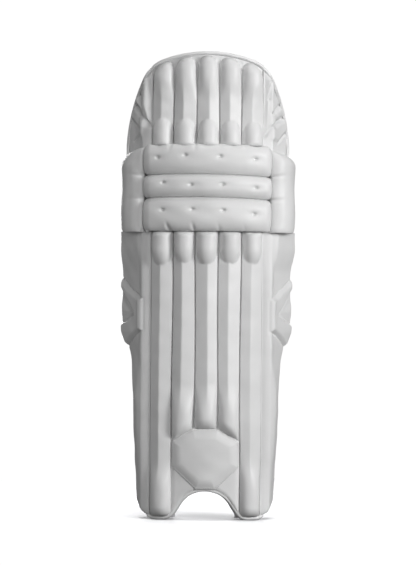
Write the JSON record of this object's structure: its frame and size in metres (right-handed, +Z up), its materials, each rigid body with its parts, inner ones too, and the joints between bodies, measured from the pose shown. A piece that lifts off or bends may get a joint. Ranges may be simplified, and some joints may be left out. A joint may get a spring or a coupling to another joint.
{
  "type": "cricket leg pad",
  "caption": "Batting leg pad with cane-filled upright rolls, a padded knee roll, wrap-round wings, an instep arch and hook-and-loop straps.",
  "frame": {"origin": "middle of the pad's bounding box at floor level, with the pad standing on its two feet", "axes": "+Z up the shin, +X across the pad towards the right as seen from its face, +Y from the face towards the leg"},
  "size_m": [0.2624, 0.18, 0.71],
  "materials": {
    "cover": "matt fine-grained synthetic leather",
    "piping": "satin synthetic leather binding",
    "foam": "closed-cell foam",
    "lining": "brushed cotton twill",
    "inner_padding": "quilted brushed fabric over foam",
    "soft_link": "folded soft leather cloth",
    "thread": "waxed sewing thread",
    "cane": "split bamboo cane",
    "webbing": "woven nylon webbing",
    "hook_tape": "moulded nylon hooks",
    "loop_tape": "brushed nylon loops"
  },
  "bodies": {
    "ankle_strap": {"ankle_hook_tape": "hook_tape", "ankle_strap": "webbing"},
    "shin_guard": {"ankle_pads": "inner_padding", "instep_fills": "cover", "instep_patch": "cover", "lower_bend_link": "soft_link", "shin_bolsters": "inner_padding", "shin_canes": "cane", "shin_core": "foam", "shin_facing": "cover", "shin_lining": "lining", "shin_piping": "piping", "shin_roll_1": "cover", "shin_roll_2": "cover", "shin_roll_3": "cover", "shin_roll_4": "cover", "shin_roll_5": "cover", "shin_roll_filling": "foam", "shin_strap_anchors": "webbing", "shin_strap_loop_tapes": "loop_tape", "shin_strap_tabs": "webbing", "shin_wing_covers": "cover", "shin_wing_left": "foam", "shin_wing_right": "foam"},
    "calf_strap": {"calf_hook_tape": "hook_tape", "calf_strap": "webbing", "calf_strap_pad": "inner_padding"},
    "knee_roll": {"knee_bolster_filling": "foam", "knee_bolster_lower": "cover", "knee_bolster_middle": "cover", "knee_bolster_upper": "cover", "knee_core": "foam", "knee_cup_bolsters": "inner_padding", "knee_facing": "cover", "knee_lining": "lining", "knee_side_bolster_left": "cover", "knee_side_bolster_right": "cover", "knee_strap_anchor": "webbing", "knee_strap_loop_tape": "loop_tape", "knee_strap_tab": "webbing", "knee_tufts": "thread", "upper_bend_link": "soft_link"},
    "knee_strap": {"knee_hook_tape": "hook_tape", "knee_strap": "webbing", "knee_strap_pad": "inner_padding"},
    "thigh_flap": {"thigh_canes": "cane", "thigh_core": "foam", "thigh_facing": "cover", "thigh_lining": "lining", "thigh_pad": "inner_padding", "thigh_piping": "piping", "thigh_roll_1": "cover", "thigh_roll_2": "cover", "thigh_roll_3": "cover", "thigh_roll_4": "cover", "thigh_roll_5": "cover", "thigh_roll_filling": "foam", "thigh_wing_covers": "cover", "thigh_wing_left": "foam", "thigh_wing_right": "foam"}
  },
  "joints": [
    {"name": "knee_lower_bend", "type": "hinge", "parent": "shin_guard", "child": "knee_roll", "pos_m": [0, -0.02452, 0.438], "axis": [-1, 0, 0], "range_deg": [0, 25], "deforming": ["lower_bend_link"]},
    {"name": "knee_upper_bend", "type": "hinge", "parent": "knee_roll", "child": "thigh_flap", "pos_m": [0, -0.02452, 0.567], "axis": [-1, 0, 0], "range_deg": [0, 25], "deforming": ["upper_bend_link"]},
    {"name": "knee_strap_open", "type": "hinge", "parent": "knee_roll", "child": "knee_strap", "pos_m": [-0.10943, 0.02851, 0.512], "axis": [0, 0, 1], "range_deg": [0, 110]},
    {"name": "calf_strap_open", "type": "hinge", "parent": "shin_guard", "child": "calf_strap", "pos_m": [-0.11817, 0.04236, 0.318], "axis": [0, 0, 1], "range_deg": [0, 110]},
    {"name": "ankle_strap_open", "type": "hinge", "parent": "shin_guard", "child": "ankle_strap", "pos_m": [-0.08898, 0.00852, 0.12], "axis": [0, 0, 1], "range_deg": [0, 110]}
  ]
}
